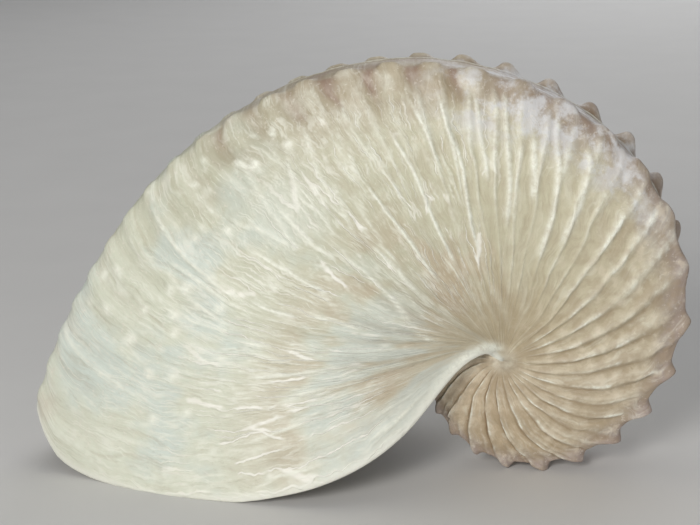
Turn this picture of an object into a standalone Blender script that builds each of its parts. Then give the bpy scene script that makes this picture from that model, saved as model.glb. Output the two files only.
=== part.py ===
"""Paper nautilus shell, whole, standing on the rims of its opening and on its first whorl.

The wall is one open sheet, wound round a level axis (Y) and thickened with
Solidify.  Every row of the grid is one growth line: it starts at the near
umbilicus, crosses the near flank, the two rows of keel knobs and the far
flank, and ends at the far umbilicus.  Angles are in degrees, counted along
the winding in the XZ plane; lengths in metres.
+X points to the first whorl, -X to the keel end of the opening, +Z up.
"""
import math

import bmesh
import bpy
import numpy as np

MM = 0.001

# ------------------------------------------------------------ driving sizes
WALL = 0.65 * MM            # thickness of the wall
AXIS_RADIUS = 1.2 * MM      # where the sheet ends beside the winding axis
CALLUS_RADIUS = 3.7 * MM    # plug that closes each umbilicus
CALLUS_HALF = 1.9 * MM
CALLUS_Y = 5.2 * MM
WORN = 0.22 * MM            # depth of the worn flats it stands on

ANGLE_TIP = -95.0           # the closed first tip
TIP_SPAN = 50.0             # length of its rounded end
ANGLE_LIP = 548.2           # keel end of the opening

# the knob tips lie on a log spiral
KEEL_ANGLE = 180.0
KEEL_RADIUS = 13.4 * MM     # its radius at that angle
GROWTH_EARLY = 0.0045       # growth per degree up to there
GROWTH = 0.0050             # and after it, six times a turn
# places where it swells or slackens: (angle, width, share of the radius)
SWELLS = ((272.0, 42.0, 0.036), (350.0, 40.0, -0.031), (500.0, 45.0, -0.014))
FLARE = 0.0625              # it flares by this share at the lip
FLARE_FROM = 524.0
FLARE_TO = 564.0
# half the distance between the two knob rows
KEEL_HALVES = (
    (-180.0, 0.4), (0.0, 1.0), (180.0, 2.1), (300.0, 3.8), (385.0, 5.3),
    (430.0, 5.2), (465.0, 4.4), (500.0, 3.8), (560.0, 3.3),
)
CROWN = 0.35 * MM           # rise of the keel band between the rows

WIDEST_AT = 0.42            # share of the radius where the whorl is widest
WIDEST_RATE = 0.2125        # half width there, as a share of the radius
AXIS_HALF_MAX = 7.3 * MM    # half width at the winding axis, for the belly
AXIS_HALF_LENGTH = 9.0 * MM
# half width at the winding axis at stations along the winding
AXIS_HALVES = (
    (-180.0, 1.3), (-95.0, 2.2), (0.0, 3.4), (60.0, 4.6), (100.0, 5.5),
    (150.0, 6.4), (200.0, 6.8), (300.0, 7.0), (400.0, 7.1), (500.0, 7.3), (600.0, 7.4),
)
AXIS_FLAT = 1.2 * MM        # how softly the umbilicus runs into the flank

# keel knobs: (angle, height)
KNOB_HEIGHTS = (
    (-180.0, 0.1), (100.0, 0.6), (240.0, 1.3), (300.0, 1.8), (370.0, 2.1),
    (440.0, 1.7), (480.0, 0.9), (515.0, 0.6), (560.0, 0.5),
)
KNOB_FIRST = 242.6          # a knob tip of the near row
KNOB_PITCH = 16.45          # degrees between knobs on the first whorl
KNOB_CROWD_FROM = 390.8     # from here on they stand ever closer
KNOB_CROWD_PITCH = 14.5
KNOB_CROWD_LENGTH = 120.0
FAR_ROW_SHIFT = 0.3         # the far row lags by this share of a pitch

# columns over one flank, as shares of the keel radius
FLANK_COLUMNS = (0.0, 0.045, 0.10, 0.18, 0.28, 0.40, 0.54, 0.69, 0.83, 0.94, 0.985)


def hermite(table, x):
    """Smooth curve through the stations of a table."""
    px = np.array([a for a, _ in table], float)
    py = np.array([b for _, b in table], float)
    slope = np.gradient(py, px)
    x = np.asarray(x, float)
    i = np.clip(np.searchsorted(px, x) - 1, 0, len(px) - 2)
    h = px[i + 1] - px[i]
    t = (x - px[i]) / h
    y = ((1 + 2 * t) * (1 - t) ** 2 * py[i] + t * (1 - t) ** 2 * h * slope[i]
         + t * t * (3 - 2 * t) * py[i + 1] + t * t * (t - 1) * h * slope[i + 1])
    return y


def smooth(a, b, x):
    t = np.clip((np.asarray(x, float) - a) / (b - a), 0.0, 1.0)
    return t * t * (3 - 2 * t)


def keel_radius(angle):
    """Radius to the knob tips."""
    angle = np.asarray(angle, float)
    turned = angle - KEEL_ANGLE
    grown = GROWTH_EARLY * np.minimum(turned, 0.0) + GROWTH * np.maximum(turned, 0.0)
    for at, width, share in SWELLS:
        grown = grown + share * np.exp(-((angle - at) / width) ** 2)
    return KEEL_RADIUS * np.exp(grown + FLARE * smooth(FLARE_FROM, FLARE_TO, angle))


def keel_half(angle):
    return hermite(KEEL_HALVES, angle) * MM


def knob_height(angle):
    return hermite(KNOB_HEIGHTS, angle) * MM


def knob_index(angle):
    """Counts the knobs of the near row: whole at each tip."""
    early = (np.minimum(angle, KNOB_CROWD_FROM) - KNOB_FIRST) / KNOB_PITCH
    late = np.maximum(angle - KNOB_CROWD_FROM, 0.0)
    return early + KNOB_CROWD_LENGTH / KNOB_CROWD_PITCH * np.expm1(late / KNOB_CROWD_LENGTH)


def knob_angle(index):
    """The inverse of knob_index."""
    turn = (KNOB_CROWD_FROM - KNOB_FIRST) / KNOB_PITCH
    early = KNOB_FIRST + np.minimum(index, turn) * KNOB_PITCH
    late = np.maximum(index - turn, 0.0) * KNOB_CROWD_PITCH / KNOB_CROWD_LENGTH
    return early + KNOB_CROWD_LENGTH * np.log1p(late)


def knob_shape(index):
    """1 at a knob tip, 0 between two knobs."""
    return (0.5 + 0.5 * np.cos(2 * math.pi * index)) ** 1.2


def half_width(rho, angle):
    """Half width of the whorl at a distance rho from the axis."""
    r = keel_radius(angle)
    s = np.clip(rho / r, 0.0, 1.0)
    w = keel_half(angle)
    y0 = hermite(AXIS_HALVES, angle) * MM
    y1 = np.minimum(y0, AXIS_HALF_MAX * (1 - np.exp(-(r / AXIS_HALF_LENGTH) ** 1.1)))
    m = np.sqrt((WIDEST_RATE * r) ** 2 + (0.8 * y1) ** 2)
    outer = w + (m - w) * (1 - np.clip((s - WIDEST_AT) / (1 - WIDEST_AT), 0, 1) ** 2)
    start = np.minimum(3.0 * MM, 0.12 * r)
    out = AXIS_FLAT * np.logaddexp(0.0, (rho - start) / AXIS_FLAT) / (WIDEST_AT * r - start)
    inner = y0 + (m - y0) * (1 - (1 - np.clip(out, 0, 1)) ** 2)
    return np.where(s > WIDEST_AT, outer, inner)


def sweep(share, stage):
    """How far, in degrees, a growth line runs ahead of its keel end."""
    inner = 1 - share
    last = np.clip((stage - 533.0) / (ANGLE_LIP - 533.0), 0, 1) ** 3
    lean = -36.0 * (1 - smooth(345.0, 455.0, stage)) + 30.0 * last
    x = np.clip(inner / 0.9, 0, 1)
    belly = 8.0 * smooth(496.0, 516.0, stage) * (1 - last) * 4 * x * (1 - x)
    corner = 5.4 * (0.25 * smooth(470.0, 510.0, stage) * (1 - last) + last)
    # near the umbilicus the last growth lines crowd together
    crowd = lean * 0.96 + corner + 4.0 * np.logaddexp(0.0, (stage - 470.0) / 8.0)
    curl = crowd * np.exp(-np.maximum(share - 0.04, 0) / 0.074) * smooth(440.0, 480.0, stage)
    return lean * inner + belly + corner * (1 - np.exp(-inner / 0.018)) - curl


def stages():
    """The growth lines: wide apart inside, then at each knob tip and valley."""
    first = int(math.ceil(knob_index(205.0) * 2))
    last = int(math.floor(knob_index(ANGLE_LIP) * 2))
    outer = [float(knob_angle(0.5 * k)) for k in range(first, last + 1)]
    inner_rows = 20
    start = ANGLE_TIP
    stop = outer[0]
    inner = [start + (stop - start) * (k / inner_rows) ** 1.0 for k in range(inner_rows)]
    if ANGLE_LIP - outer[-1] > 1.0:
        outer.append(ANGLE_LIP)
    else:
        outer[-1] = ANGLE_LIP
    return inner + outer


def growth_line(stage):
    """Points of one growth line, from the near umbilicus to the far one."""
    r = float(keel_radius(stage))
    h = float(knob_height(stage))
    base = r - h
    index = float(knob_index(np.array(stage)))
    points = []
    sides = []
    for side, phase in ((-1, 0.0), (1, FAR_ROW_SHIFT)):
        line = []
        bump = h * float(knob_shape(index - phase))
        for share in FLANK_COLUMNS:
            share = max(share, AXIS_RADIUS / r)
            rho = share * base
            angle = stage + float(sweep(share, stage))
            y = float(half_width(rho, angle))
            rise = 0.35 * bump * float(smooth(0.7, 1.0, share))
            a = math.radians(angle)
            line.append(((rho + rise) * math.cos(a), side * (y + rise), (rho + rise) * math.sin(a)))
        a = math.radians(stage)
        rho = base + bump
        y = float(keel_half(stage)) + 0.25 * bump
        line.append((rho * math.cos(a), side * y, rho * math.sin(a)))
        sides.append(line)
    a = math.radians(stage)
    rho = base + CROWN * min(1.0, r / (20 * MM))
    crown = (rho * math.cos(a), 0.0, rho * math.sin(a))
    points = sides[0] + [crown] + sides[1][::-1]
    # the first tip closes to a point
    t = min(1.0, (stage - ANGLE_TIP) / TIP_SPAN)
    if t < 1.0:
        k = math.sqrt(1 - (1 - t) ** 2)
        c = (0.55 * r * math.cos(a), 0.0, 0.55 * r * math.sin(a))
        points = [tuple(c[i] + k * (p[i] - c[i]) for i in range(3)) for p in points]
    return points


def rest_turn(rows):
    """The turn about Y, in radians, that brings the opening and the first
    whorl down to one level."""
    split = len(rows) // 2
    late = np.array([p for row in rows[split:] for p in row])
    early = np.array([p for row in rows[:split] for p in row])
    low, high = math.radians(-10.0), math.radians(10.0)
    for _ in range(40):
        mid = (low + high) / 2
        c, s = math.cos(mid), math.sin(mid)
        gap = (late[:, 0] * s + late[:, 2] * c).min() - (early[:, 0] * s + early[:, 2] * c).min()
        if gap > 0:
            low = mid
        else:
            high = mid
    return (low + high) / 2


def new_collection(name):
    c = bpy.data.collections.new(name)
    bpy.context.scene.collection.children.link(c)
    return c


def add_object(name, bm, collection):
    mesh = bpy.data.meshes.new(name)
    bm.to_mesh(mesh)
    bm.free()
    ob = bpy.data.objects.new(name, mesh)
    collection.objects.link(ob)
    return ob


def hide_cutter(ob):
    ob.hide_render = True
    ob.display_type = 'WIRE'


def build():
    for ob in list(bpy.data.objects):
        bpy.data.objects.remove(ob, do_unlink=True)

    parts = new_collection("paper_nautilus_shell")
    cutters = new_collection("cutters")

    # ---- the sheet: a grid whose rows are growth lines
    rows = [growth_line(s) for s in stages()]
    nu, nv = len(rows) - 1, len(rows[0]) - 1
    bm = bmesh.new()
    bmesh.ops.create_grid(bm, x_segments=nu, y_segments=nv, size=1.0)
    turn = rest_turn(rows)
    ct, st = math.cos(turn), math.sin(turn)
    for v in bm.verts:
        i = int(round((v.co.x + 1) * 0.5 * nu))
        j = int(round((v.co.y + 1) * 0.5 * nv))
        x, y, z = rows[i][j]
        v.co = (x * ct - z * st, y, x * st + z * ct)
    bmesh.ops.remove_doubles(bm, verts=bm.verts[:], dist=1e-6)
    bmesh.ops.recalc_face_normals(bm, faces=bm.faces[:])
    # outward: the keel side of the sheet looks away from the axis
    far = max(bm.faces, key=lambda f: f.calc_center_median().length)
    c = far.calc_center_median()
    if far.normal.dot(c) < 0:
        bmesh.ops.reverse_faces(bm, faces=bm.faces[:])
    low = min(v.co.z for v in bm.verts)
    ground = low + WORN
    bmesh.ops.translate(bm, verts=bm.verts[:], vec=(0, 0, -ground))
    x0 = min(v.co.x for v in bm.verts)
    x1 = max(v.co.x for v in bm.verts)
    shift = -(x0 + x1) / 2
    bmesh.ops.translate(bm, verts=bm.verts[:], vec=(shift, 0, 0))
    shell = add_object("shell", bm, parts)

    wall = shell.modifiers.new("wall", 'SOLIDIFY')
    wall.thickness = WALL
    wall.offset = -1.0
    wall.use_even_offset = False

    # ---- the callus that closes each umbilicus
    for k, side in enumerate((-1, 1)):
        bm = bmesh.new()
        bmesh.ops.create_uvsphere(bm, u_segments=16, v_segments=8, radius=1.0)
        for v in bm.verts:
            x, y, z = v.co
            v.co = (shift + CALLUS_RADIUS * x, side * CALLUS_Y + CALLUS_HALF * z * side, -ground + CALLUS_RADIUS * y)
        bmesh.ops.recalc_face_normals(bm, faces=bm.faces[:])
        plug = add_object("callus_%d" % k, bm, cutters)
        hide_cutter(plug)
        join = shell.modifiers.new("callus_%d" % k, 'BOOLEAN')
        join.operation = 'UNION'
        join.solver = 'EXACT'
        join.object = plug

    # ---- worn flats where it stands
    bm = bmesh.new()
    bmesh.ops.create_cube(bm, size=1.0)
    for v in bm.verts:
        v.co = (v.co.x * 0.3, v.co.y * 0.2, v.co.z * 0.02 - 0.01)
    block = add_object("ground_cut", bm, cutters)
    hide_cutter(block)
    cut = shell.modifiers.new("worn", 'BOOLEAN')
    cut.operation = 'DIFFERENCE'
    cut.solver = 'EXACT'
    cut.object = block

    # ---- material
    mat = bpy.data.materials.new("calcite")
    mat.use_nodes = True
    p = mat.node_tree.nodes["Principled BSDF"]
    p.inputs["Base Color"].default_value = (0.555, 0.53, 0.42, 1.0)
    p.inputs["Roughness"].default_value = 0.4
    shell.data.materials.append(mat)
    return shell


build()
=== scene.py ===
import math

import bmesh
import bpy
import numpy as np
from mathutils import Matrix, Vector

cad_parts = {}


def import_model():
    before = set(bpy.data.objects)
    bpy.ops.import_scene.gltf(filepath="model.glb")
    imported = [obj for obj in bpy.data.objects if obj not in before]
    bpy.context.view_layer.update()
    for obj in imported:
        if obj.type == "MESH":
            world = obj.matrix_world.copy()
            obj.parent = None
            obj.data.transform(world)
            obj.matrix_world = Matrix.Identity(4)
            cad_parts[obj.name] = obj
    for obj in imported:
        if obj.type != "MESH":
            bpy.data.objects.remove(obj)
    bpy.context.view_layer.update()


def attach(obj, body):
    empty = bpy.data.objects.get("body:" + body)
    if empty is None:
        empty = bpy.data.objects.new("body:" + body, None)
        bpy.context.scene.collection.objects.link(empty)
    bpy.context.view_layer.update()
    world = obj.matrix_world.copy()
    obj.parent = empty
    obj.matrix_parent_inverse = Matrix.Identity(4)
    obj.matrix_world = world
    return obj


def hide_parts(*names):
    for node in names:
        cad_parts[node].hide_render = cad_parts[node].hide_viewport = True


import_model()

MM = 0.001

# ------------------------------------------------------------ sizes shared with the CAD model
WALL = 0.65
ANGLE_TIP = -95.0
TIP_SPAN = 50.0
ANGLE_LIP = 548.2
TURN = math.radians(-0.95006)
SHIFT = 26.52579
GROUND = -22.22870
KEEL_ANGLE = 180.0
KEEL_RADIUS = 13.4
GROWTH_EARLY = 0.0045
GROWTH = 0.0050
SWELLS = ((272.0, 42.0, 0.036), (350.0, 40.0, -0.031), (500.0, 45.0, -0.014))
FLARE = 0.0625
FLARE_FROM = 524.0
FLARE_TO = 564.0
KEEL_HALVES = (
    (-180.0, 0.4), (0.0, 1.0), (180.0, 2.1), (300.0, 3.8), (385.0, 5.3),
    (430.0, 5.2), (465.0, 4.4), (500.0, 3.8), (560.0, 3.3),
)
AXIS_HALVES = (
    (-180.0, 1.3), (-95.0, 2.2), (0.0, 3.4), (60.0, 4.6), (100.0, 5.5),
    (150.0, 6.4), (200.0, 6.8), (300.0, 7.0), (400.0, 7.1), (500.0, 7.3), (600.0, 7.4),
)
AXIS_FLAT = 1.2
WIDEST_AT = 0.42
WIDEST_RATE = 0.2125
AXIS_HALF_MAX = 7.3
AXIS_HALF_LENGTH = 9.0
KNOB_HEIGHTS = (
    (-180.0, 0.1), (100.0, 0.6), (240.0, 1.3), (300.0, 1.8), (370.0, 2.1),
    (440.0, 1.7), (480.0, 0.9), (515.0, 0.6), (560.0, 0.5),
)
KNOB_FIRST = 242.6
KNOB_PITCH = 16.45
KNOB_CROWD_FROM = 390.8
KNOB_CROWD_PITCH = 14.5
KNOB_CROWD_LENGTH = 120.0
FAR_ROW_SHIFT = 0.3
CROWN = 0.35

# ------------------------------------------------------------ the marks of this shell
# Raised threads of the flank: half width and height in mm, whiteness, and the
# points that they pass, as (knob index, share).  Negative heights are grooves.
STROKES = (
    (0.3, 0.38, 1.0, ((17.56, 0.803), (17.5, 0.753), (17.36, 0.677), (17.37, 0.623), (17.4, 0.567), (17.41, 0.469), (17.3, 0.367),)),
    (0.26, 0.36, 1.0, ((19.02, 0.674), (18.96, 0.619), (18.96, 0.575), (18.89, 0.529), (18.86, 0.473), (18.87, 0.402), (18.91, 0.321),)),
    (0.26, 0.28, 0.8, ((18.73, 0.796), (19.0, 0.742), (19.08, 0.706), (19.02, 0.674),)),
    (0.24, 0.22, 0.7, ((19.47, 0.637), (19.68, 0.593),)),
    (0.28, 0.26, 0.9, ((20.92, 0.746), (21.02, 0.71), (20.92, 0.665),)),
    (0.35, 0.22, 0.6, ((20.25, 0.862), (20.45, 0.83), (20.7, 0.785), (20.94, 0.722),)),
    (0.3, 0.22, 0.6, ((21.41, 0.913), (21.52, 0.854), (21.65, 0.802), (21.77, 0.741), (21.92, 0.683), (22.12, 0.618),)),
    (0.28, 0.3, 0.9, ((21.55, 0.747), (21.65, 0.692), (21.65, 0.648), (21.76, 0.606), (21.69, 0.573), (21.71, 0.536),)),
    (0.28, 0.32, 1.0, ((22.8, 0.722), (22.74, 0.689), (22.74, 0.643), (22.7, 0.608), (22.77, 0.566), (22.71, 0.524), (22.85, 0.484),)),
    (0.24, 0.26, 0.9, ((22.91, 0.624), (23.08, 0.586),)),
    (0.24, 0.26, 0.9, ((23.39, 0.65), (23.26, 0.597),)),
    (0.38, 0.2, 0.5, ((22.54, 0.816), (22.47, 0.781), (22.28, 0.739), (22.19, 0.691), (22.15, 0.644),)),
    (0.3, 0.18, 0.6, ((22.71, 0.881), (22.74, 0.832),)),
    (0.34, 0.18, 0.5, ((24.05, 0.799), (24.09, 0.752), (24.18, 0.716),)),
    (0.28, 0.26, 0.8, ((21.39, 0.541), (21.45, 0.503), (21.41, 0.457), (21.62, 0.393), (21.75, 0.347),)),
    (0.45, 0.34, 0.8, ((20.35, 0.511), (20.35, 0.458), (20.32, 0.418), (20.49, 0.367), (20.64, 0.301),)),
    (0.34, 0.2, 0.6, ((19.81, 0.72), (20.09, 0.656), (20.32, 0.614), (20.67, 0.544),)),
    (0.45, 0.22, 0.6, ((19.52, 0.895), (19.7, 0.839), (19.94, 0.777), (20.13, 0.729), (20.17, 0.668),)),
    (0.4, 0.24, 0.7, ((18.28, 0.927), (18.63, 0.84),)),
    (0.35, 0.18, 0.6, ((18.86, 0.918), (19.17, 0.862),)),
    (0.4, 0.2, 0.5, ((18.07, 0.883), (18.4, 0.819),)),
    (0.3, 0.2, 0.6, ((18.12, 0.692), (18.19, 0.655), (18.08, 0.621),)),
    (0.6, 0.22, 0.45, ((18.39, 0.825), (18.48, 0.781), (18.34, 0.739), (18.14, 0.693),)),
    (0.32, 0.3, 0.8, ((23.91, 0.969), (24.0, 0.927), (24.05, 0.89), (24.11, 0.843), (24.1, 0.796), (24.15, 0.749), (24.2, 0.704), (24.24, 0.656),)),
    (0.3, 0.4, 1.0, ((24.02, 0.651), (24.1, 0.613), (24.1, 0.586), (24.01, 0.55), (24.02, 0.526),)),
    (0.28, 0.28, 0.8, ((23.85, 0.523), (23.75, 0.48), (23.73, 0.417), (23.9, 0.36),)),
    (0.28, 0.34, 1.0, ((25.89, 0.637), (25.83, 0.609), (25.87, 0.583), (25.73, 0.55),)),
    (0.26, 0.26, 0.8, ((25.58, 0.526), (25.38, 0.487),)),
    (0.55, 0.24, 0.5, ((26.54, 0.748), (26.66, 0.695), (26.77, 0.656), (27.06, 0.611), (27.42, 0.576),)),
    (0.35, 0.18, 0.5, ((26.07, 0.781), (26.14, 0.721), (26.17, 0.68),)),
    (0.34, 0.24, 0.7, ((26.85, 0.606), (27.07, 0.578), (27.05, 0.539),)),
    (0.24, 0.22, 0.8, ((26.47, 0.595), (26.78, 0.562),)),
    (0.3, 0.34, 1.0, ((27.59, 0.585), (27.46, 0.567), (27.36, 0.527), (27.25, 0.483), (27.09, 0.444), (27.01, 0.407),)),
    (0.3, 0.18, 0.5, ((27.01, 0.407), (27.75, 0.353), (28.49, 0.286),)),
    (0.35, 0.16, 0.5, ((28.8, 0.995), (28.84, 0.971), (28.86, 0.933), (28.91, 0.882), (28.87, 0.831),)),
    (0.28, 0.28, 0.9, ((27.96, 0.606), (28.22, 0.581), (28.66, 0.548),)),
    (0.3, 0.16, 0.5, ((28.03, 0.695), (27.85, 0.624),)),
    (0.28, 0.32, 0.9, ((30.2, 0.557), (30.08, 0.524), (29.96, 0.485), (29.9, 0.45), (29.82, 0.409),)),
    (0.28, 0.3, 0.9, ((31.25, 0.561), (31.21, 0.531), (31.08, 0.503), (31.09, 0.469), (31.09, 0.425), (31.08, 0.39),)),
    (0.24, 0.22, 0.8, ((31.02, 0.582), (30.89, 0.551),)),
    (0.24, 0.2, 0.7, ((29.25, 0.607), (29.18, 0.584),)),
    (0.5, 0.2, 0.7, ((29.0, 0.486), (28.73, 0.462), (28.45, 0.435), (28.51, 0.395),)),
    (0.28, 0.3, 0.9, ((23.01, 0.262), (23.42, 0.231), (24.11, 0.199), (24.85, 0.161),)),
    (0.38, 0.3, 0.8, ((21.42, 0.453), (21.59, 0.401), (21.72, 0.36), (22.1, 0.315), (22.91, 0.262),)),
    (0.28, 0.24, 0.7, ((22.69, 0.571), (22.75, 0.525), (23.0, 0.48), (23.34, 0.436),)),
    (0.28, 0.24, 0.8, ((24.89, 0.305), (25.55, 0.27),)),
    (0.45, 0.3, 0.8, ((31.04, 0.304), (31.05, 0.235), (30.9, 0.176),)),
    (0.35, 0.24, 0.6, ((31.28, 0.271), (31.34, 0.209),)),
    (0.32, 0.42, 1.0, ((16.02, 0.904), (16.0, 0.85), (15.97, 0.781), (15.79, 0.727), (15.75, 0.665), (15.81, 0.574), (15.87, 0.494), (15.79, 0.412),)),
    (0.32, 0.36, 0.9, ((16.76, 0.885), (16.68, 0.837), (16.57, 0.776), (16.5, 0.699), (16.43, 0.659),)),
    (0.42, 0.34, 0.8, ((15.13, 0.914), (15.08, 0.854), (15.07, 0.769), (14.98, 0.692), (14.97, 0.632),)),
    (0.5, 0.34, 0.7, ((14.42, 0.945), (14.38, 0.847), (14.32, 0.755), (14.24, 0.66), (14.25, 0.578), (14.35, 0.499),)),
    (0.6, 0.36, 0.9, ((13.66, 0.838), (13.62, 0.781), (13.49, 0.687), (13.48, 0.609),)),
    (0.5, 0.36, 0.8, ((13.18, 0.938), (13.08, 0.844), (12.92, 0.769), (12.82, 0.688), (12.76, 0.608), (12.78, 0.507), (12.8, 0.423),)),
    (0.6, 0.38, 0.8, ((12.37, 0.893), (12.18, 0.829), (12.12, 0.76), (12.09, 0.687), (12.14, 0.601), (12.21, 0.518),)),
    (0.24, 0.2, 0.6, ((16.16, 0.649), (16.37, 0.612),)),
    (0.4, 0.2, 0.5, ((16.77, 0.731), (16.74, 0.676),)),
    (0.6, -0.28, 0.8, ((20.48, 0.566), (20.55, 0.531), (20.63, 0.488),)),
    (0.6, -0.28, 0.8, ((21.81, 0.491), (21.88, 0.45), (21.93, 0.399),)),
    (0.6, -0.28, 0.8, ((21.91, 0.376), (22.06, 0.343), (22.27, 0.309),)),
    (0.9, -0.22, 0.6, ((30.84, 0.522), (30.76, 0.472), (30.75, 0.429), (30.76, 0.376),)),
    (0.8, -0.2, 0.5, ((30.71, 0.353), (30.63, 0.297), (30.55, 0.241), (30.4, 0.185),)),
    (0.5, -0.18, 0.4, ((27.57, 0.872), (27.59, 0.833), (27.58, 0.771),)),
)
SPOTS = (
    (21.25, 0.864, 1.1, 0.9),
    (20.34, 0.909, 0.8, 0.8),
    (20.23, 0.865, 1.0, 0.8),
    (21.48, 0.889, 0.7, 0.7),
    (21.44, 0.871, 0.6, 0.7),
    (20.78, 0.928, 0.7, 0.5),
    (22.10, 0.951, 0.7, 0.5),
    (22.64, 0.920, 0.7, 0.6),
    (22.78, 0.794, 0.7, 0.7),
    (23.14, 0.853, 0.6, 0.6),
    (23.51, 0.842, 0.8, 0.6),
    (25.29, 0.832, 1.0, 0.7),
    (24.78, 0.795, 0.9, 0.7),
    (26.32, 0.857, 0.9, 0.7),
    (25.94, 0.798, 1.0, 0.8),
    (27.17, 0.925, 0.9, 0.7),
    (27.46, 0.860, 1.2, 0.8),
    (26.48, 0.778, 1.1, 0.8),
    (28.19, 0.787, 1.0, 0.8),
    (28.02, 0.745, 0.8, 0.7),
    (24.88, 0.699, 1.0, 0.7),
    (24.11, 0.754, 0.7, 0.6),
    (26.52, 0.974, 1.0, 0.6),
    (26.04, 0.960, 0.8, 0.6),
    (23.98, 0.989, 0.8, 0.4),
    (26.20, 0.881, 0.7, 0.4),
    (25.22, 0.764, 0.8, 0.5),
    (26.43, 0.931, 0.8, 0.4),
    (27.43, 0.976, 0.8, 0.4),
    (29.20, 0.691, 0.8, 0.7),
    (29.62, 0.760, 0.9, 0.7),
)


def hermite(table, x):
    px = np.array([a for a, _ in table], float)
    py = np.array([b for _, b in table], float)
    slope = np.gradient(py, px)
    x = np.asarray(x, float)
    i = np.clip(np.searchsorted(px, x) - 1, 0, len(px) - 2)
    h = px[i + 1] - px[i]
    t = (x - px[i]) / h
    y = ((1 + 2 * t) * (1 - t) ** 2 * py[i] + t * (1 - t) ** 2 * h * slope[i]
         + t * t * (3 - 2 * t) * py[i + 1] + t * t * (t - 1) * h * slope[i + 1])
    return y


def smooth(a, b, x):
    t = np.clip((np.asarray(x, float) - a) / (b - a), 0.0, 1.0)
    return t * t * (3 - 2 * t)


def bell(x, w):
    return np.exp(-(np.asarray(x, float) / w) ** 2)


def keel_radius(a):
    a = np.asarray(a, float)
    turned = a - KEEL_ANGLE
    grown = GROWTH_EARLY * np.minimum(turned, 0.0) + GROWTH * np.maximum(turned, 0.0)
    for at, width, part in SWELLS:
        grown = grown + part * np.exp(-((a - at) / width) ** 2)
    return KEEL_RADIUS * np.exp(grown + FLARE * smooth(FLARE_FROM, FLARE_TO, a))


def keel_half(a):
    return hermite(KEEL_HALVES, a)


def knob_height(a):
    return hermite(KNOB_HEIGHTS, a)


def knob_index(a):
    early = (np.minimum(a, KNOB_CROWD_FROM) - KNOB_FIRST) / KNOB_PITCH
    late = np.maximum(a - KNOB_CROWD_FROM, 0.0)
    return early + KNOB_CROWD_LENGTH / KNOB_CROWD_PITCH * np.expm1(late / KNOB_CROWD_LENGTH)


def knob_angle(n):
    turn = (KNOB_CROWD_FROM - KNOB_FIRST) / KNOB_PITCH
    early = KNOB_FIRST + np.minimum(n, turn) * KNOB_PITCH
    late = np.maximum(n - turn, 0.0) * KNOB_CROWD_PITCH / KNOB_CROWD_LENGTH
    return early + KNOB_CROWD_LENGTH * np.log1p(late)


def half_width(rho, angle):
    r = keel_radius(angle)
    s = np.clip(rho / r, 0.0, 1.0)
    w = keel_half(angle)
    y0 = hermite(AXIS_HALVES, angle)
    y1 = np.minimum(y0, AXIS_HALF_MAX * (1 - np.exp(-(r / AXIS_HALF_LENGTH) ** 1.1)))
    m = np.sqrt((WIDEST_RATE * r) ** 2 + (0.8 * y1) ** 2)
    outer = w + (m - w) * (1 - np.clip((s - WIDEST_AT) / (1 - WIDEST_AT), 0, 1) ** 2)
    start = np.minimum(3.0, 0.12 * r)
    out = AXIS_FLAT * np.logaddexp(0.0, (rho - start) / AXIS_FLAT) / (WIDEST_AT * r - start)
    inner = y0 + (m - y0) * (1 - (1 - np.clip(out, 0, 1)) ** 2)
    return np.where(s > WIDEST_AT, outer, inner)


def sweep(share, stage):
    inner = 1 - share
    last = np.clip((stage - 533.0) / (ANGLE_LIP - 533.0), 0, 1) ** 3
    lean = -36.0 * (1 - smooth(345.0, 455.0, stage)) + 30.0 * last
    x = np.clip(inner / 0.9, 0, 1)
    belly = 8.0 * smooth(496.0, 516.0, stage) * (1 - last) * 4 * x * (1 - x)
    corner = 5.4 * (0.25 * smooth(470.0, 510.0, stage) * (1 - last) + last)
    crowd = lean * 0.96 + corner + 4.0 * np.logaddexp(0.0, (stage - 470.0) / 8.0)
    curl = crowd * np.exp(-np.maximum(share - 0.04, 0) / 0.074) * smooth(440.0, 480.0, stage)
    return lean * inner + belly + corner * (1 - np.exp(-inner / 0.018)) - curl


# ------------------------------------------------------------ noise
def table_of(seed, n=4096):
    return np.random.RandomState(seed).rand(n) * 2 - 1


def noise(x, y, seed):
    """Smooth value noise in -1..1 on the unit lattice."""
    tab = table_of(seed)
    x = np.asarray(x, float) + 517.0
    y = np.asarray(y, float) + 311.0
    ix, iy = np.floor(x).astype(np.int64), np.floor(y).astype(np.int64)
    fx, fy = x - ix, y - iy
    u = fx * fx * fx * (fx * (fx * 6 - 15) + 10)
    v = fy * fy * fy * (fy * (fy * 6 - 15) + 10)

    def at(a, b):
        return tab[(a * 7919 + b * 104729 + (a * b) % 613) % len(tab)]
    return ((at(ix, iy) * (1 - u) + at(ix + 1, iy) * u) * (1 - v)
            + (at(ix, iy + 1) * (1 - u) + at(ix + 1, iy + 1) * u) * v)


def fbm(x, y, seed, octaves=3):
    total, amp, norm = 0.0, 1.0, 0.0
    for k in range(octaves):
        total = total + amp * noise(x * 2 ** k, y * 2 ** k, seed + 17 * k)
        norm += amp
        amp *= 0.5
    return total / norm


def per_rib(n, seed):
    """A fixed random number in -1..1 for each whole rib number."""
    tab = table_of(seed, 257)
    return tab[np.mod(np.asarray(n, np.int64) * 31 + 7, 257)]


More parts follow.
